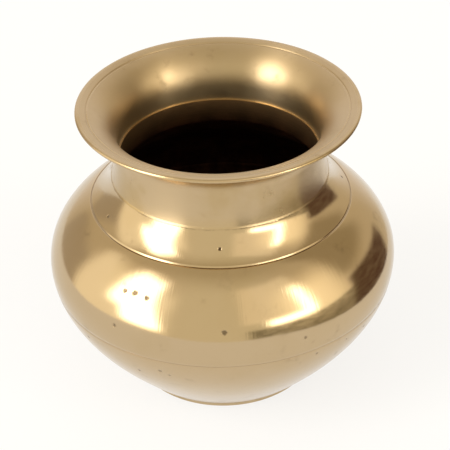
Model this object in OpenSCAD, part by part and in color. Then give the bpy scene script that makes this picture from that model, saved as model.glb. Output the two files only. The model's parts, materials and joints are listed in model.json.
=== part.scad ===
// Brass kalash (lota): a round-bellied water pot with a flared mouth, on a low foot ring.
// Every piece is a turned ring or shell about the Z axis, and the pot stands on z = 0.

/* [Overall] */
// Height from the table to the top of the lip
height = 130; // [115:1:170]
// Widest outside diameter, at the belly
belly_d = 150.8; // [135:0.2:190]
// Height of the widest point above the table
belly_h = 56.5; // [48:0.5:66]

/* [Mouth and neck] */
// Outside diameter of the lip
rim_d = 120; // [106:1:150]
// Bore of the throat, where a lid or funnel fits
throat_d = 85.8; // [72:0.2:100]
// Length of the straight throat bore
throat_l = 6.3; // [4:0.1:12]
// Height of the flare, from the throat bore up to the lip
flare_h = 16; // [10:0.5:24]
// Thickness of the flare and of the neck wall
neck_wall = 2.1; // [1.8:0.1:3]
// Width by which the neck spreads at its foot, outside
neck_spread = 1.4; // [0.6:0.1:2.4]
// Thickness of the lip at its rounded edge
lip_t = 1.8; // [1.2:0.1:2.4]
// Width of the flat worn on top of the lip
lip_land = 1; // [0.5:0.1:2]
// Rise of the flare where it meets the lip, in degrees
lip_slope = 10; // [4:1:20]
// Distance from the lip's edge in to the engraved line
lip_line_in = 4.8; // [3:0.1:7]

/* [Shoulder] */
// Width of the concave shoulder, from the neck out to the engraved line
collar_w = 9.5; // [7:0.1:14]
// Drop of the concave shoulder, from the neck down to the engraved line
collar_h = 12.2; // [8:0.1:16]
// Slope of the shoulder where it leaves the neck, in degrees
collar_top_slope = 71; // [60:1:76]
// Slope of the shoulder on both sides of the engraved line, in degrees
shoulder_slope = 32; // [24:1:40]
// Width of the engraved lines
line_w = 0.6; // [0.4:0.1:1]
// Depth of the engraved lines
line_depth = 0.3; // [0.2:0.05:0.4]

/* [Body] */
// Wall of the two body shells
body_wall = 1.6; // [1.4:0.1:2.4]
// Height of the seam between the two body shells
seam_h = 49; // [44:0.5:54]
// Height over which the two body shells lap
seam_lap = 6; // [4:0.5:8]

/* [Neck joint] */
// Height of the body's sleeve that stands up inside the neck
sleeve_h = 9.6; // [6:0.1:14]
// Wall of the sleeve
sleeve_wall = 1.5; // [1.2:0.1:2]
// How far the top of the sleeve stands proud of the throat bore
ledge = 0.6; // [0.3:0.1:1]

/* [Foot] */
// Outside diameter of the foot ring on the table
foot_d = 80.6; // [68:0.2:100]
// Height of the foot ring
foot_h = 3.2; // [2.6:0.1:3.8]
// Width of the foot ring's flat top and base
foot_w = 4; // [3:0.1:6]
// How far the foot ring flares from its top to its base
foot_flare = 0.4; // [0:0.1:0.8]
// Width of the bowl's flat underside that shows outside the foot ring
foot_inset = 2.2; // [1.5:0.1:4]

/* [Brazing] */
// Clearance that the brazing metal fills in every joint
film = 0.15; // [0.1:0.05:0.25]
// Leg of the brazing fillet round the neck and round the foot
fillet = 0.8; // [0.4:0.1:1.2]

/* [Hidden] */

BRASS = [0.74, 0.63, 0.45];
WORN_BRASS = [0.70, 0.57, 0.38];
SPELTER = [0.80, 0.62, 0.36];

// Fineness of the turned faces and of the curves of the profile
$fn = 180;
CURVE_STEPS = 24;
LIP_STEP = 15;
// Share of a quarter curve that makes its Bezier handle round
ROUND = 0.5523;
// Handle lengths of the body's curves, as shares of their height
BOWL_FOOT_PULL = 0.36;
BOWL_BELLY_PULL = 0.376;
SHOULDER_BELLY_PULL = 0.44;
SHOULDER_LINE_PULL = 0.36;
COLLAR_PULL = 0.33;
// Slope of the bowl where it leaves its flat underside, in degrees
BOWL_SLOPE = 46;
// Drop of the body's inner face below the foot of the sleeve
ROOT_DROP = 1;

// Radii, from the axis outwards
belly_r = belly_d / 2;
rim_r = rim_d / 2;
throat_r = throat_d / 2;
neck_r = throat_r + neck_wall;
sleeve_in_r = throat_r - ledge;
sleeve_out_r = sleeve_in_r + sleeve_wall;
lap_bore_r = sleeve_out_r + film;
neck_foot_r = neck_r + neck_spread;
collar_r = neck_foot_r + film;
line_r = collar_r + collar_w;
foot_r = foot_d / 2;
foot_top_r = foot_r - foot_flare;
foot_in_r = foot_top_r - foot_w;
base_r = foot_r + foot_inset;

// Heights, from the lip down to the table
throat_top = height - flare_h;
ledge_h = throat_top - throat_l;
crease_h = ledge_h - film - sleeve_h;
line_h = crease_h - collar_h;
base_h = foot_h + film;
floor_h = base_h + body_wall;

// ---- The body's outer profile, as three Bezier curves from the foot up to the neck ----

bowl_rise = belly_h - base_h;
shoulder_rise = line_h - belly_h;
collar_reach = norm([collar_w, collar_h]);

function up_slope(angle) = [cos(angle), sin(angle)];
function up_and_in(angle) = [-cos(angle), sin(angle)];

BOWL = [
    [base_r, base_h],
    [base_r, base_h] + BOWL_FOOT_PULL * bowl_rise * up_slope(BOWL_SLOPE),
    [belly_r, belly_h - BOWL_BELLY_PULL * bowl_rise],
    [belly_r, belly_h]
];
SHOULDER = [
    [belly_r, belly_h],
    [belly_r, belly_h + SHOULDER_BELLY_PULL * shoulder_rise],
    [line_r, line_h] - SHOULDER_LINE_PULL * shoulder_rise * up_and_in(shoulder_slope),
    [line_r, line_h]
];
COLLAR = [
    [line_r, line_h],
    [line_r, line_h] + COLLAR_PULL * collar_reach * up_and_in(shoulder_slope),
    [collar_r, crease_h] - COLLAR_PULL * collar_reach * up_and_in(collar_top_slope),
    [collar_r, crease_h]
];
CURVES = [BOWL, SHOULDER, COLLAR];
U_LINE = 2;
U_NECK = 3;

// The flare's inner face, from the throat bore up to the lip
lip_start = [rim_r - lip_t / 2 - lip_land, height];
flare_w = lip_start[0] - throat_r;
FLARE = [
    [throat_r, throat_top],
    [throat_r, throat_top + ROUND * flare_h],
    lip_start - ROUND * flare_w * up_slope(lip_slope),
    lip_start
];

function bezier(p, t) =
    pow(1 - t, 3) * p[0] + 3 * pow(1 - t, 2) * t * p[1]
    + 3 * (1 - t) * t * t * p[2] + pow(t, 3) * p[3];

function bezier_way(p, t) =
    pow(1 - t, 2) * (p[1] - p[0]) + 2 * (1 - t) * t * (p[2] - p[1]) + t * t * (p[3] - p[2]);

// A point of the curve, moved square to it by depth, to the left of its way
function beside(p, t, depth) =
    let (way = bezier_way(p, t))
    bezier(p, t) + depth / norm(way) * [-way[1], way[0]];

// A point of the body's profile: u runs 0 to 1 up the bowl, to 2 up the shoulder, to 3 up the
// collar, and depth is measured in from the outer face
function body_point(u, depth) =
    let (k = min(floor(u), len(CURVES) - 1))
    beside(CURVES[k], u - k, depth);

function body_run(from, to, depth) =
    let (steps = max(1, ceil(abs(to - from) * CURVE_STEPS)))
    [for (i = [0:steps]) body_point(from + (to - from) * i / steps, depth)];

// The u at which the face at that depth passes a height, found by halving
function u_at(z, depth = 0, low = 0, high = U_NECK, turns = 40) =
    let (mid = (low + high) / 2)
    turns == 0 ? mid
    : body_point(mid, depth)[1] < z ? u_at(z, depth, mid, high, turns - 1)
    : u_at(z, depth, low, mid, turns - 1);

function flare_run(from, to, depth) =
    [for (i = [0:CURVE_STEPS]) beside(FLARE, from + (to - from) * i / CURVE_STEPS, depth)];

// The place along the flare at which it passes a radius, found by halving
function flare_at(r, low = 0, high = 1, turns = 40) =
    let (mid = (low + high) / 2)
    turns == 0 ? mid
    : bezier(FLARE, mid)[0] < r ? flare_at(r, mid, high, turns - 1)
    : flare_at(r, low, mid, turns - 1);

// ---- The belly lap: the lower shell's tongue stands inside the upper shell's skirt ----

tongue_depth = body_wall / 2 + film / 2;
skirt_depth = body_wall / 2 - film / 2;
u_seam = u_at(seam_h);
u_skirt = u_at(seam_h + film);
u_tongue = u_at(seam_h + seam_lap);
u_skirt_root = u_at(seam_h + seam_lap + film);
u_floor = u_at(floor_h, body_wall);
u_sleeve_root = u_at(crease_h - 2 * ROOT_DROP, body_wall);

// ---- The brazing fillet round the neck, between the neck and the top of the collar ----

u_fillet = u_at(crease_h - fillet / 2);

function neck_outside(z) =
    neck_r + neck_spread * pow((throat_top - z) / (throat_top - crease_h), 3);

// A V-shaped line cut into a turned face, with its point below the face
module engraved_line(place) {
    translate(place)
        polygon([[-line_w / 2, line_depth], [0, -line_depth], [line_w / 2, line_depth]]);
}

// Flared mouth, throat and neck, turned in one piece, with a counterbore for the sleeve
module mouth() {
    lip_edge = [rim_r - lip_t / 2, height - lip_t / 2];
    neck_h = throat_top - crease_h - film;
    outline = concat(
        [
            for (i = [0:CURVE_STEPS - 1])
                let (z = crease_h + film + neck_h * i / CURVE_STEPS)
                [neck_outside(z), z]
        ],
        flare_run(0, 1, -neck_wall),
        [for (a = [-90:LIP_STEP:90]) lip_edge + lip_t / 2 * [cos(a), sin(a)]],
        flare_run(1, 0, 0),
        [
            [throat_r, ledge_h],
            [lap_bore_r, ledge_h],
            [lap_bore_r, crease_h + film]
        ]
    );
    color(BRASS)
        rotate_extrude()
            difference() {
                polygon(outline);
                engraved_line(bezier(FLARE, flare_at(rim_r - lip_line_in)));
            }
}

// Upper body shell: skirt, shoulder and concave collar, with a sleeve that stands in the neck
module upper_body() {
    outline = concat(
        body_run(u_skirt, u_fillet, 0),
        [
            [collar_r, crease_h],
            [sleeve_out_r, crease_h],
            [sleeve_out_r, ledge_h - film],
            [sleeve_in_r, ledge_h - film],
            [sleeve_in_r, crease_h - ROOT_DROP]
        ],
        body_run(u_sleeve_root, u_skirt_root, body_wall),
        body_run(u_skirt_root, u_skirt, skirt_depth)
    );
    color(BRASS)
        rotate_extrude()
            difference() {
                polygon(outline);
                engraved_line([line_r, line_h]);
            }
}

// Lower body shell: the bowl, with a tongue that stands in the skirt
module lower_body() {
    outline = concat(
        body_run(0, u_seam, 0),
        body_run(u_seam, u_tongue, tongue_depth),
        body_run(u_tongue, u_floor, body_wall),
        [
            [0, floor_h],
            [0, base_h]
        ]
    );
    color(WORN_BRASS)
        rotate_extrude()
            polygon(outline);
}

// Foot ring, flared a little towards the table
module foot_ring() {
    color(WORN_BRASS)
        rotate_extrude()
            polygon([
                [foot_in_r, 0],
                [foot_r, 0],
                [foot_top_r, foot_h],
                [foot_in_r, foot_h]
            ]);
}

// Brazing metal in the neck joint: under the throat, round the sleeve and out to a fillet
module neck_braze() {
    color(SPELTER)
        rotate_extrude()
            polygon([
                [sleeve_out_r, crease_h],
                [collar_r, crease_h],
                body_point(u_fillet, 0),
                [neck_outside(crease_h + fillet), crease_h + fillet],
                [neck_outside(crease_h + film), crease_h + film],
                [lap_bore_r, crease_h + film],
                [lap_bore_r, ledge_h],
                [throat_r, ledge_h],
                [throat_r, ledge_h - film],
                [sleeve_out_r, ledge_h - film]
            ]);
}

// Brazing metal in the belly lap, flush with the body inside and out
module belly_braze() {
    outline = concat(
        [body_point(u_seam, 0)],
        [body_point(u_skirt, 0)],
        body_run(u_skirt, u_skirt_root, skirt_depth),
        [body_point(u_skirt_root, body_wall)],
        [body_point(u_tongue, body_wall)],
        body_run(u_tongue, u_seam, tongue_depth)
    );
    color(SPELTER)
        rotate_extrude()
            polygon(outline);
}

// Brazing metal on top of the foot ring, with a fillet round its outside and inside
module foot_braze() {
    fillet_r = foot_top_r + foot_flare * fillet / foot_h;
    color(SPELTER)
        rotate_extrude()
            polygon([
                [foot_in_r, foot_h - fillet],
                [foot_in_r, foot_h],
                [foot_top_r, foot_h],
                [fillet_r, foot_h - fillet],
                [foot_top_r + fillet + film, base_h],
                [foot_in_r - fillet - film, base_h]
            ]);
}

mouth();
upper_body();
lower_body();
foot_ring();
neck_braze();
belly_braze();
foot_braze();
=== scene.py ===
import json
import math

import bpy
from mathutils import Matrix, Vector


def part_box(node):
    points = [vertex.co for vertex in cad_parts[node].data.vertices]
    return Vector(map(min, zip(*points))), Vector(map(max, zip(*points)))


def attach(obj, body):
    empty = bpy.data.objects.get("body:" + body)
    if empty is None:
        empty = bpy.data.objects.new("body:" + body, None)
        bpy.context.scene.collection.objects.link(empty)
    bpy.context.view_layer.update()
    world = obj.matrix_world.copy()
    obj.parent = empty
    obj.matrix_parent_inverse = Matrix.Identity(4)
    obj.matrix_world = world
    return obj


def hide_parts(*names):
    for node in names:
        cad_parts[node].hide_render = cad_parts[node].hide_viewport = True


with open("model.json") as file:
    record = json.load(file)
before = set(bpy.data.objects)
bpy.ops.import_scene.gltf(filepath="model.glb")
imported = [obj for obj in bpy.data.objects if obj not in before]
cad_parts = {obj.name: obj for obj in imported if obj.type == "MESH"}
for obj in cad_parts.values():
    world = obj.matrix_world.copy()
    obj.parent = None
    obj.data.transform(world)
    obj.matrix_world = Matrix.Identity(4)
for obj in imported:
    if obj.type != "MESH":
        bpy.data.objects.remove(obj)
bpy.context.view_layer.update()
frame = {"record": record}

# ---------------------------------------------------------------------------------------------
# Lower body
# The bowl of the pot: a thin cast brass shell, turned and polished outside and left dark
# inside. Its rim is rebated to a tongue that stands inside the skirt of the upper body.
# ---------------------------------------------------------------------------------------------

MM = 0.001
WALL = 1.6 * MM
LAP = 6 * MM
BELLY_Z = 56.5 * MM
FOOT_INSET = 2.2 * MM
NECK_WALL = 2.1 * MM
COLLAR_WIDTH = 9.5 * MM
NECK_SPREAD = 1.4 * MM
COLLAR_DROP = 12.2 * MM
# Slopes of the outside where its curves meet, in degrees, and how far each curve is pulled
# along them, as shares of its rise
FOOT_SLOPE = 46
BELLY_SLOPE = 90
LINE_SLOPE = 148
CREASE_SLOPE = 109
FOOT_PULL = 0.36
BOWL_PULL = 0.376
BELLY_PULL = 0.44
SHOULDER_PULL = 0.36
COLLAR_PULL = 0.33

bowl_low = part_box("lower_body")[0]
foot_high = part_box("foot_ring")[1]
upper_low, upper_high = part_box("upper_body")
mouth_low, mouth_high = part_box("mouth")
throat = next(mount for mount in frame["record"]["mounts"] if mount["name"] == "throat")
film = bowl_low.z - foot_high.z
throat_r = throat["dims"]["r_mm"] * MM
crease_z = mouth_low.z - film
collar_r = throat_r + NECK_WALL + NECK_SPREAD + film


def way(degrees):
    return Vector((math.cos(math.radians(degrees)), math.sin(math.radians(degrees))))


def curve(start, start_pull, end_pull, end):
    return start, start + start_pull, end - end_pull, end


base = Vector((foot_high.x + FOOT_INSET, bowl_low.z))
belly = Vector((upper_high.x, BELLY_Z))
line = Vector((collar_r + COLLAR_WIDTH, crease_z - COLLAR_DROP))
crease = Vector((collar_r, crease_z))
rise = belly.y - base.y
shoulder_rise = line.y - belly.y
reach = math.hypot(COLLAR_WIDTH, COLLAR_DROP)
PROFILE = [
    curve(base, FOOT_PULL * rise * way(FOOT_SLOPE), BOWL_PULL * rise * way(BELLY_SLOPE), belly),
    curve(
        belly, BELLY_PULL * shoulder_rise * way(BELLY_SLOPE),
        SHOULDER_PULL * shoulder_rise * way(LINE_SLOPE), line,
    ),
    curve(
        line, COLLAR_PULL * reach * way(LINE_SLOPE),
        COLLAR_PULL * reach * way(CREASE_SLOPE), crease,
    ),
]
U_LINE = 2
U_NECK = 3
HALVINGS = 40


def beside(p, t, depth):
    """A point of a Bezier curve, moved square to it, to the left of its way."""
    s = 1 - t
    point = s**3 * p[0] + 3 * s * s * t * p[1] + 3 * s * t * t * p[2] + t**3 * p[3]
    run = s * s * (p[1] - p[0]) + 2 * s * t * (p[2] - p[1]) + t * t * (p[3] - p[2])
    return point + depth * Vector((-run.y, run.x)).normalized()


def body_point(u, depth=0.0):
    """A point of the body: u is 0 at the foot and U_NECK at the neck, and depth goes inwards."""
    k = min(int(u), len(PROFILE) - 1)
    return beside(PROFILE[k], u - k, depth)


def body_run(start, stop, depth=0.0, per_curve=40):
    steps = max(1, math.ceil(abs(stop - start) * per_curve))
    return [body_point(start + (stop - start) * i / steps, depth) for i in range(steps + 1)]


def body_at(z, depth=0.0):
    """The u at which the face at that depth passes a height, found by halving."""
    low, high = 0.0, float(U_NECK)
    for _ in range(HALVINGS):
        middle = (low + high) / 2
        if body_point(middle, depth).y < z:
            low = middle
        else:
            high = middle
    return middle


TURNS = 192
EDGE = 0.12 * MM
SHARP = math.radians(40)
hand_work = bpy.data.textures.new("hand_work", "CLOUDS")
hand_work.noise_scale = 55 * MM
HAND_WORK = 0.35 * MM


def turned(name, outline, edge=EDGE):
    """A turned piece: its outline is drawn by extruding one point, then spun round Z.

    The two Displace modifiers give every piece the same slight waver of work done by hand.
    """
    bpy.ops.object.select_all(action="DESELECT")
    bpy.ops.mesh.primitive_plane_add(size=MM)
    piece = bpy.context.object
    piece.name = piece.data.name = name
    bpy.ops.object.mode_set(mode="EDIT")
    bpy.ops.mesh.merge(type="CENTER")
    bpy.ops.transform.translate(value=(outline[0].x, 0, outline[0].y))
    for here, there in zip(outline, outline[1:]):
        step = (there.x - here.x, 0, there.y - here.y)
        bpy.ops.mesh.extrude_vertices_move(TRANSFORM_OT_translate={"value": step})
    bpy.ops.mesh.select_all(action="SELECT")
    bpy.ops.mesh.spin(steps=TURNS, angle=2 * math.pi, center=(0, 0, 0), axis=(0, 0, 1))
    bpy.ops.mesh.select_all(action="SELECT")
    bpy.ops.mesh.remove_doubles(threshold=0.005 * MM)
    bpy.ops.mesh.normals_make_consistent(inside=False)
    bpy.ops.object.mode_set(mode="OBJECT")
    if edge:
        bevel = piece.modifiers.new("edges", "BEVEL")
        bevel.width = edge
        bevel.segments = 2
        bevel.angle_limit = SHARP
        bpy.ops.object.modifier_apply(modifier="edges")
    for axis in "XY":
        wobble = piece.modifiers.new(axis, "DISPLACE")
        wobble.texture = hand_work
        wobble.texture_coords = "LOCAL"
        wobble.direction = axis
        wobble.strength = HAND_WORK
        bpy.ops.object.modifier_apply(modifier=axis)
    bpy.ops.object.shade_smooth_by_angle(angle=SHARP)
    return piece


def finish_inside(piece, inner_face, metal):
    """Gives the faces that inner_face picks the piece's second material."""
    piece.data.materials.append(metal)
    for face in piece.data.polygons:
        outward = Vector((face.center.x, face.center.y, 0)).normalized()
        if inner_face(face.normal.dot(outward), face.normal.z, face.center):
            face.material_index = 1


class Shade:
    """A shader socket with sums on it: each operator adds the Math node that it stands for."""

    def __init__(self, tree, socket=None):
        self.tree = tree
        self.socket = socket

    def add(self, kind, settings, values, outlet=0):
        """Adds a node: its settings first, then the values or links of its sockets."""
        node = self.tree.nodes.new(kind)
        for name, setting in settings.items():
            setattr(node, name, setting)
        for name, value in values.items():
            if isinstance(value, Shade):
                self.tree.links.new(value.socket, node.inputs[name])
            else:
                node.inputs[name].default_value = value
        return Shade(self.tree, None if outlet is None else node.outputs[outlet])

    def math(self, operation, *values):
        return self.add("ShaderNodeMath", {"operation": operation}, dict(enumerate(values)))

    def __add__(self, other):
        return self.math("ADD", self, other)

    __radd__ = __add__

    def __mul__(self, other):
        return self.math("MULTIPLY", self, other)

    __rmul__ = __mul__

    def __sub__(self, other):
        return self.math("SUBTRACT", self, other)

    def __rsub__(self, other):
        return self.math("SUBTRACT", other, self)

    def __pow__(self, other):
        return self.math("POWER", self, other)

    def parts(self):
        """The X, Y and Z of a vector."""
        split = self.add("ShaderNodeSeparateXYZ", {}, {0: self})
        return [Shade(self.tree, outlet) for outlet in split.socket.node.outputs]

    def ramp(self, low, high):
        """0 up to low and 1 from high on, with a smooth way between."""
        limits = {"Value": self, "From Min": low, "From Max": high}
        return self.add("ShaderNodeMapRange", {"interpolation_type": "SMOOTHSTEP"}, limits)

    def band(self, low, high, soft):
        """1 between low and high, fading to 0 over soft on both sides."""
        return self.ramp(low - soft, low + soft) * (1 - self.ramp(high - soft, high + soft))

    def scaled(self, by):
        return self.add("ShaderNodeVectorMath", {"operation": "MULTIPLY"}, {0: self, 1: by})

    def noise(self, by, detail=3.0, rough=0.5):
        """Soft noise around 0.5, with by grains to the metre along each axis."""
        values = {"Vector": self.scaled(by), "Scale": 1.0, "Detail": detail, "Roughness": rough}
        return self.add("ShaderNodeTexNoise", {}, values)

    def mix(self, first, second):
        """Goes from the first colour to the second as this value goes from 0 to 1."""
        colours = {0: self, 6: first, 7: second}
        return self.add("ShaderNodeMix", {"data_type": "RGBA"}, colours, 2)


def rgb(red, green, blue):
    return red, green, blue, 1.0


BRASS = rgb(0.53, 0.40, 0.24)
BRASS_WARM = rgb(0.47, 0.34, 0.17)
TARNISH = rgb(0.20, 0.125, 0.06)
PIT = rgb(0.06, 0.035, 0.02)


def on_face(azimuth, z):
    """A place on the body's outer face: azimuth from the front towards +X, z in millimetres."""
    r = body_point(body_at(z * MM)).x
    turn = math.radians(azimuth)
    return Vector((r * math.sin(turn), -r * math.cos(turn), z * MM))


def new_finish(name):
    """An empty material: its data block and a Shade to add its nodes with."""
    metal = bpy.data.materials.new(name)
    metal.use_nodes = True
    metal.node_tree.nodes.clear()
    return metal, Shade(metal.node_tree)


def brass(name, polish, lines, marks=(), warm=0.25, streaks=0.0, brushed=0.0):
    """Turned brass: polish is its roughness, and lines the depth of the lathe's lines in mm.

    Each mark is a pit, given by its place, its radius and its depth in mm. Heights are in mm.
    """
    metal, start = new_finish(name)
    place = start.add("ShaderNodeTexCoord", {}, {}, "Object")
    x, y, z = place.parts()
    r = (x * x + y * y) ** 0.5
    ring = start.add("ShaderNodeCombineXYZ", {}, {0: r, 2: z})
    around = start.math("ARCTAN2", x, y)
    strip = start.add("ShaderNodeCombineXYZ", {}, {0: around, 1: r * 2, 2: z * 2})

    cloud = place.noise((38, 38, 38), 4, 0.55)
    blotch = place.noise((140, 140, 140), 5, 0.6)
    grain = place.noise((900, 900, 900), 2, 0.5)
    lathe = ring.noise((2200, 1, 2200), 2, 0.6)
    wide_lathe = ring.noise((420, 1, 420), 3, 0.55)
    streak = strip.noise((120, 12, 12), 3, 0.6)

    tint = (cloud.ramp(0.42, 0.68) * warm).mix(BRASS, BRASS_WARM)
    dirt = blotch.ramp(0.56, 0.78) * cloud.ramp(0.44, 0.6) * 0.35
    tint = dirt.mix(tint, TARNISH)
    height = (lathe - 0.5) * lines + (wide_lathe - 0.5) * (2.5 * lines) + (cloud - 0.5) * 0.06
    height = height + (grain - 0.5) * 0.0016
    rough = polish + dirt * 0.25 + (blotch - 0.5) * (0.35 * polish)
    if streaks:
        height = height + (streak - 0.5) * streaks
    for where, size, depth in marks:
        ends = {0: place, 1: where}
        away = start.add("ShaderNodeVectorMath", {"operation": "DISTANCE"}, ends, "Value")
        ragged = away + (grain - 0.5) * (0.9 * size * MM)
        mark = 1 - ragged.ramp(0.35 * size * MM, size * MM)
        tint = (mark * min(1.0, 6 * depth)).mix(tint, PIT)
        height = height - mark * depth
        rough = rough + mark * 0.2

    normal = start.add("ShaderNodeBump", {}, {"Strength": 1.0, "Distance": MM, "Height": height})
    shader = start.add("ShaderNodeBsdfPrincipled", {}, {
        "Base Color": tint,
        "Metallic": 1.0,
        "Roughness": rough,
        "Normal": normal,
        "Anisotropic": brushed,
        "Anisotropic Rotation": 0.25,
    })
    start.add("ShaderNodeOutputMaterial", {}, {"Surface": shader}, None)
    return metal


def dark_brass(name):
    """The unpolished inside: brass gone nearly black, with faint turning rings."""
    metal, start = new_finish(name)
    place = start.add("ShaderNodeTexCoord", {}, {}, "Object")
    z = place.parts()[2]
    blotch = place.noise((110, 110, 110), 5, 0.65)
    rings = place.noise((3, 3, 1500), 2, 0.6)
    # The inside is lighter and smoother towards the throat and darker further down.
    near_throat = z.ramp(crease_z - 4 * MM, upper_high.z + 2 * MM)
    tint = blotch.ramp(0.35, 0.7).mix(rgb(0.035, 0.012, 0.006), rgb(0.09, 0.035, 0.014))
    tint = (near_throat * (0.55 + rings * 0.5)).mix(tint, rgb(0.26, 0.16, 0.075))
    height = (rings - 0.5) * 0.05 + (blotch - 0.5) * 0.12
    normal = start.add("ShaderNodeBump", {}, {"Strength": 1.0, "Distance": MM, "Height": height})
    shader = start.add("ShaderNodeBsdfPrincipled", {}, {
        "Base Color": tint,
        "Metallic": 0.85,
        "Roughness": 0.5 - near_throat * 0.15 + (blotch - 0.5) * 0.2,
        "Normal": normal,
    })
    start.add("ShaderNodeOutputMaterial", {}, {"Surface": shader}, None)
    return metal


u_seam = body_at(upper_low.z - film)
u_tongue = body_at(upper_low.z - film + LAP)
u_floor = body_at(base.y + WALL, WALL)
tongue_depth = (WALL + film) / 2

BOWL_MARKS = [
    (on_face(-22, 42), 1.3, 0.06),
    (on_face(-31, 37), 1.0, 0.08),
    (on_face(-52, 44), 1.1, 0.06),
    (on_face(-19, 40), 0.8, 0.05),
    (on_face(31, 46), 1.0, 0.07),
    (on_face(44, 45), 0.8, 0.06),
    (on_face(54, 44), 1.1, 0.07),
    (on_face(-104, 40), 1.4, 0.06),
    (on_face(133, 35), 1.2, 0.06),
    (on_face(176, 44), 1.0, 0.07),
]
lower_body = turned("pot_lower_body", (
    [Vector((0, base.y))]
    + [Vector((base.x * k / 16, base.y)) for k in range(1, 16)]
    + body_run(0, u_seam)
    + body_run(u_seam, u_tongue, tongue_depth)
    + body_run(u_tongue, u_floor, WALL)
    + [Vector((0, base.y + WALL))]
))
lower_body.data.materials.append(brass("polished_brass_bowl", 0.16, 0.0012, BOWL_MARKS))
finish_inside(lower_body, lambda out, up, at: out < -0.05 or up > 0.3,
              dark_brass("dark_brass_bowl"))
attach(lower_body, "root")
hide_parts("lower_body")

# ---------------------------------------------------------------------------------------------
# Foot ring
# A low ring of worn brass, brazed under the bowl, on which the pot stands. It flares a little
# towards the table and its edges are rounded by use.
# ---------------------------------------------------------------------------------------------

FOOT_FLARE = 0.4 * MM
FOOT_WIDTH = 4 * MM

foot_top_r = foot_high.x - FOOT_FLARE
foot_in_r = foot_top_r - FOOT_WIDTH
foot_ring = turned("pot_foot_ring", [
    Vector((foot_in_r, 0)),
    Vector((foot_in_r + FOOT_WIDTH / 2, 0)),
    Vector((foot_high.x, 0)),
    Vector(((foot_high.x + foot_top_r) / 2, foot_high.z / 2)),
    Vector((foot_top_r, foot_high.z)),
    Vector((foot_in_r, foot_high.z)),
    Vector((foot_in_r, 0)),
], edge=0.35 * MM)
foot_ring.data.materials.append(brass("foot_brass", 0.3, 0.004, warm=1.6))
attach(foot_ring, "root")
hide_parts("foot_ring")

# ---------------------------------------------------------------------------------------------
# Foot braze
# The brazing metal between the bowl and the foot ring, drawn out to a small fillet inside and
# outside the ring.
# ---------------------------------------------------------------------------------------------

FILLET = 0.8 * MM


fillet_r = foot_top_r + FOOT_FLARE * FILLET / foot_high.z
foot_braze = turned("foot_braze_bead", [
    Vector((foot_in_r, foot_high.z - FILLET)),
    Vector((foot_in_r, foot_high.z)),
    Vector((foot_top_r, foot_high.z)),
    Vector((fillet_r, foot_high.z - FILLET)),
    Vector((foot_top_r + 0.3 * FILLET, base.y - 0.4 * FILLET)),
    Vector((foot_top_r + FILLET + film, base.y)),
    Vector((foot_in_r - FILLET - film, base.y)),
    Vector((foot_in_r - 0.3 * FILLET, base.y - 0.4 * FILLET)),
    Vector((foot_in_r, foot_high.z - FILLET)),
], edge=0)
foot_braze.data.materials.append(brass("spelter_foot", 0.3, 0.0, warm=1.0))
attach(foot_braze, "root")
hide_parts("foot_braze")

# ---------------------------------------------------------------------------------------------
# Upper body
# The shoulder and the concave collar, in brass, turned, with one engraved line between them.
# Its skirt laps the bowl and its sleeve stands inside the neck of the mouth.
# ---------------------------------------------------------------------------------------------

LEDGE = 0.6 * MM
SLEEVE_WALL = 1.5 * MM
ROOT_DROP = 1 * MM
LINE_HALF = 0.35 * MM
LINE_DEPTH = 0.3 * MM
VALLEY_HALF = 2.4 * MM
VALLEY_DEPTH = 0.1 * MM

sleeve_in_r = throat_r - LEDGE
sleeve_out_r = sleeve_in_r + SLEEVE_WALL
ledge_z = upper_high.z + film
u_skirt = body_at(upper_low.z)
u_fillet = body_at(crease_z - FILLET / 2)
u_skirt_root = body_at(upper_low.z + LAP)
u_sleeve_root = body_at(crease_z - 2 * ROOT_DROP, WALL)
skirt_depth = (WALL - film) / 2


def engraved(points, centre, inwards):
    """Lowers the points near the centre: a fine line in the middle of a shallow valley."""
    cut = []
    for point in points:
        away = (point - centre).length
        depth = LINE_DEPTH * math.exp(-(away / LINE_HALF) ** 2)
        depth += VALLEY_DEPTH * math.exp(-(away / VALLEY_HALF) ** 2)
        cut.append(point + depth * inwards)
    return cut


shoulder = (
    body_run(u_skirt, U_LINE - 0.15)
    + body_run(U_LINE - 0.15, U_LINE - 0.02, per_curve=120)[1:]
    + body_run(U_LINE - 0.02, U_LINE + 0.04, per_curve=700)[1:]
    + body_run(U_LINE + 0.04, U_LINE + 0.3, per_curve=120)[1:]
    + body_run(U_LINE + 0.3, u_fillet)[1:]
)
SHOULDER_MARKS = [
    (on_face(-1, 91), 1.0, 0.16),
    (on_face(0, 66), 1.5, 0.12),
    (on_face(-27, 75), 1.3, 0.14),
    (on_face(-32, 75.3), 1.5, 0.14),
    (on_face(-36, 75), 1.1, 0.12),
    (on_face(-37, 61), 1.2, 0.1),
    (on_face(26, 58), 1.0, 0.08),
    (on_face(-66, 89), 1.1, 0.1),
    (on_face(-118, 72), 1.3, 0.1),
    (on_face(97, 88), 1.0, 0.1),
    (on_face(150, 70), 1.4, 0.12),
    (on_face(-168, 64), 1.2, 0.1),
]
upper_body = turned("pot_upper_body", (
    engraved(shoulder, line, -way(58))
    + [Vector((collar_r, crease_z)), Vector((sleeve_out_r, crease_z))]
    + [Vector((sleeve_out_r, upper_high.z)), Vector((sleeve_in_r, upper_high.z))]
    + [Vector((sleeve_in_r, crease_z - ROOT_DROP))]
    + body_run(u_sleeve_root, u_skirt_root, WALL)
    + body_run(u_skirt_root, u_skirt, skirt_depth)
    + [body_point(u_skirt)]
))
upper_body.data.materials.append(brass("polished_brass_shoulder", 0.13, 0.001, SHOULDER_MARKS, streaks=0.02))
finish_inside(upper_body, lambda out, up, at: out < -0.05, dark_brass("dark_brass_shoulder"))
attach(upper_body, "root")
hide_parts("upper_body")

# ---------------------------------------------------------------------------------------------
# Belly braze
# The brazing metal in the lap at the belly, between the tongue and the skirt. Outside it is
# filed and polished flush, so it is nearly lost in the brass.
# ---------------------------------------------------------------------------------------------

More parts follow.
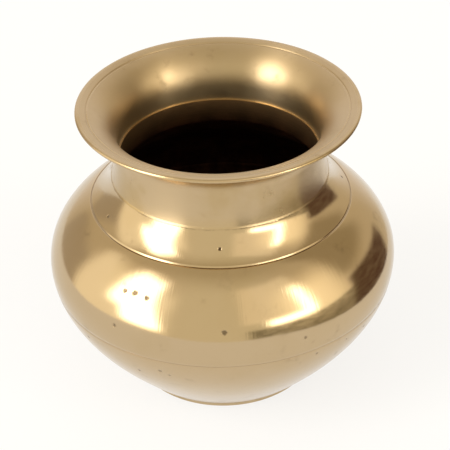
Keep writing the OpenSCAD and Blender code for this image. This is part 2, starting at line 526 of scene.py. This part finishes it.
belly_braze = turned("belly_braze_band", (
    [body_point(u_seam), body_point(u_skirt)]
    + body_run(u_skirt, u_skirt_root, skirt_depth)
    + [body_point(u_skirt_root, WALL), body_point(u_tongue, WALL)]
    + body_run(u_tongue, u_seam, tongue_depth)
    + [body_point(u_seam)]
), edge=0)
belly_braze.data.materials.append(brass("spelter_belly", 0.14, 0.001))
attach(belly_braze, "root")
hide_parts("belly_braze")

# ---------------------------------------------------------------------------------------------
# Mouth
# The flared mouth with its throat and neck, turned in one piece. The lathe leaves level lines
# round the inside of the flare, and one line is scribed near the lip.
# ---------------------------------------------------------------------------------------------

FLARE_RISE = 16 * MM
LIP = 1.8 * MM
LIP_LAND = 1 * MM
LIP_LINE_IN = 4.8 * MM
ROUND = 0.5523
LIP_LINE_DEPTH = 0.22 * MM

rim_r = mouth_high.x
throat_top = mouth_high.z - FLARE_RISE
lip_start = Vector((rim_r - LIP / 2 - LIP_LAND, mouth_high.z))
FLARE = curve(
    Vector((throat_r, throat_top)), ROUND * FLARE_RISE * way(90),
    ROUND * (lip_start.x - throat_r) * way(10), lip_start,
)


def flare_run(start, stop, depth, steps=40):
    return [beside(FLARE, start + (stop - start) * k / steps, depth) for k in range(steps + 1)]


def neck_outside(z):
    spread = NECK_SPREAD * ((throat_top - z) / (throat_top - crease_z)) ** 3
    return Vector((throat_r + NECK_WALL + spread, z))


NECK_RINGS = 24
neck_h = throat_top - mouth_low.z
neck_run = [neck_outside(mouth_low.z + neck_h * k / NECK_RINGS) for k in range(NECK_RINGS)]
lip_centre = Vector((rim_r - LIP / 2, mouth_high.z - LIP / 2))
inner_face = flare_run(1, 0.94, 0, 6) + flare_run(0.94, 0.84, 0, 60)[1:] + flare_run(0.84, 0, 0)[1:]
lip_line = min(inner_face, key=lambda point: abs(point.x - (rim_r - LIP_LINE_IN)))
cut_face = [
    point - LIP_LINE_DEPTH * math.exp(-((point - lip_line).length / LINE_HALF) ** 2) * way(100)
    for point in inner_face
]
MOUTH_MARKS = [
    (Vector((20 * MM, 50.5 * MM, 124.5 * MM)), 1.1, 0.06),
    (Vector((-1 * MM, 53.5 * MM, 127 * MM)), 0.8, 0.08),
    (Vector((-52 * MM, 12 * MM, 126 * MM)), 0.9, 0.08),
]
mouth = turned("pot_mouth", (
    neck_run
    + flare_run(0, 1, -NECK_WALL)
    + [lip_centre + LIP / 2 * way(angle) for angle in range(-75, 91, 15)]
    + cut_face
    + [Vector((throat_r, ledge_z)), Vector((sleeve_out_r + film, ledge_z))]
    + [Vector((sleeve_out_r + film, mouth_low.z)), neck_run[0]]
))
mouth.data.materials.append(brass("polished_brass_neck", 0.24, 0.002, warm=0.8, brushed=0.7))
finish_inside(mouth, lambda out, up, at: out < -0.02 and at.z > ledge_z,
              brass("turned_brass_mouth", 0.36, 0.004, MOUTH_MARKS, brushed=0.85))
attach(mouth, "root")
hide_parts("mouth")

# ---------------------------------------------------------------------------------------------
# Neck braze
# The brazing metal in the neck joint. It shows as a thin ring on the ledge in the throat, and
# outside as the soft fillet in the crease where the neck meets the collar.
# ---------------------------------------------------------------------------------------------

fillet_foot = body_point(u_fillet)
fillet_head = neck_outside(crease_z + FILLET)
HOLLOW = 0.04 * MM
fillet_middle = (fillet_foot + fillet_head) / 2 - HOLLOW * way(20)
neck_braze = turned("neck_braze_fillet", [
    Vector((sleeve_out_r, crease_z)),
    Vector((collar_r, crease_z)),
    fillet_foot,
    fillet_middle,
    fillet_head,
    neck_outside(mouth_low.z),
    Vector((sleeve_out_r + film, mouth_low.z)),
    Vector((sleeve_out_r + film, ledge_z)),
    Vector((throat_r, ledge_z)),
    Vector((throat_r, upper_high.z)),
    Vector((sleeve_out_r, upper_high.z)),
    Vector((sleeve_out_r, crease_z)),
], edge=0)
neck_braze.data.materials.append(brass("spelter_neck", 0.26, 0.002, warm=0.9))
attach(neck_braze, "root")
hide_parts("neck_braze")

# ---------------------------------------------------------------------------------------------
# Table
# A white table top, cut off in front and at the sides where the studio goes dark.
# ---------------------------------------------------------------------------------------------

TABLE_FRONT = -385 * MM
TABLE_BACK = 700 * MM
TABLE_LEFT = -450 * MM
TABLE_RIGHT = 215 * MM

bpy.ops.object.select_all(action="DESELECT")
bpy.ops.mesh.primitive_plane_add(size=1)
table = bpy.context.object
table.name = "table"
bpy.ops.object.mode_set(mode="EDIT")
bpy.ops.transform.resize(value=(TABLE_RIGHT - TABLE_LEFT, TABLE_BACK - TABLE_FRONT, 1))
bpy.ops.transform.translate(value=((TABLE_RIGHT + TABLE_LEFT) / 2, (TABLE_BACK + TABLE_FRONT) / 2, 0))
bpy.ops.object.mode_set(mode="OBJECT")
paint, start = new_finish("white_table")
paper = start.add("ShaderNodeBsdfPrincipled", {}, {
    "Base Color": rgb(0.22, 0.22, 0.22),
    "Roughness": 0.9,
    "Specular IOR Level": 0.0,
    "Emission Color": rgb(1, 1, 1),
    "Emission Strength": 0.76,
})
start.add("ShaderNodeOutputMaterial", {}, {"Surface": paper}, None)
table.data.materials.append(paint)

# ---------------------------------------------------------------------------------------------
# Studio
# Painted on the world: a large softbox at the left and a dimmer one with a hot edge at the
# right, dark clutter and a dark card beyond it, and a warm room. Each light is a band of
# azimuth, from the front towards the right, and of elevation, in degrees, with its softness.
# ---------------------------------------------------------------------------------------------

studio = bpy.data.worlds.new("studio")
bpy.context.scene.world = studio
studio.use_nodes = True
studio.node_tree.nodes.clear()
start = Shade(studio.node_tree)
look = start.add("ShaderNodeTexCoord", {}, {}, "Generated")
look_x, look_y, look_z = look.parts()
azimuth = start.math("ARCTAN2", look_x, 0 - look_y) * (180 / math.pi)
elevation = start.math("ARCSINE", look_z) * (180 / math.pi)

spread = start.math("ABSOLUTE", azimuth, 0)
room = spread.ramp(20, 70).mix(rgb(1.0, 0.94, 0.75), rgb(0.80, 0.70, 0.52))
room = spread.ramp(138, 160).mix(room, rgb(1.05, 1.0, 0.95))
overhead = elevation.ramp(50, 75)
room = overhead.mix(room, rgb(0.70, 0.62, 0.45))
window = azimuth.band(-108, -36, 5) * elevation.band(-30, 44, 9)
room = window.mix(room, rgb(1.5, 1.4, 1.15))
side_wall = azimuth.band(-140, -109, 2) * elevation.band(-30, 20, 6)
room = side_wall.mix(room, rgb(0.62, 0.54, 0.43))
taper = elevation.ramp(-4, 48) * 12
core = (azimuth + taper).band(-66, -40, 4) * elevation.band(-3, 52, 6)
core_left = (azimuth - taper * 0.1).band(-79, -58, 4) * elevation.band(14, 50, 9)
room = start.math("MAXIMUM", core * 0.9, core_left).mix(room, rgb(6.5, 6.3, 5.8))
right_box = azimuth.band(11, 60, 1.5) * elevation.band(14, 56, 2)
room = right_box.mix(room, rgb(1.3, 1.2, 0.98))
glow = azimuth.band(40, 85, 16) * elevation.band(-6, 42, 12)
room = (glow * 0.6).mix(room, rgb(2.4, 2.2, 1.7))
right_bar = azimuth.band(28, 60, 3) * elevation.band(7, 15, 3)
right_bar = start.math("MAXIMUM", right_bar, azimuth.band(52, 60, 2.5) * elevation.band(7, 42, 6))
room = right_bar.mix(room, rgb(6, 5.8, 5.2))
rear_wall = azimuth.band(88, 128, 6) * elevation.band(18, 66, 7)
room = rear_wall.mix(room, rgb(0.5, 0.42, 0.28))
speckle = look.noise((16, 16, 30), 4, 0.65).ramp(0.42, 0.62)
clutter = azimuth.band(15, 92, 2.5) * elevation.band(-25, 4, 1.5)
room = (clutter * (1 - speckle * 0.8)).mix(room, rgb(0.22, 0.19, 0.12))
card = azimuth.band(89, 132, 2) * (elevation + azimuth.ramp(88, 134) * 10).band(-30, 14, 2)
room = (card * (1 - speckle * 0.3)).mix(room, rgb(0.09, 0.035, 0.02))
seen = start.add("ShaderNodeLightPath", {}, {}, "Is Camera Ray")
room = seen.mix(room, rgb(1, 1, 1))
sky = start.add("ShaderNodeBackground", {}, {"Color": room, "Strength": 1.0})
start.add("ShaderNodeOutputWorld", {}, {"Surface": sky}, None)

# ---------------------------------------------------------------------------------------------
# Camera
# A long lens, a little above the rim of the pot and leaning a little to one side.
# ---------------------------------------------------------------------------------------------

CAMERA_PITCH = 33.94
CAMERA_LEAN = -1.59
CAMERA_DISTANCE = 754.1 * MM
CAMERA_AIM = Vector((1.45 * MM, 0, 68.8 * MM))

lens = bpy.data.cameras.new("camera")
lens.lens = 138.04
camera = bpy.data.objects.new("camera", lens)
bpy.context.scene.collection.objects.link(camera)
pitch = math.radians(CAMERA_PITCH)
camera.location = CAMERA_AIM + CAMERA_DISTANCE * Vector((0, -math.cos(pitch), math.sin(pitch)))
camera.rotation_euler = (math.pi / 2 - pitch, 0, 0)
camera.rotation_euler.rotate_axis("Z", math.radians(CAMERA_LEAN))
bpy.context.scene.camera = camera
bpy.context.scene.view_settings.view_transform = "Standard"
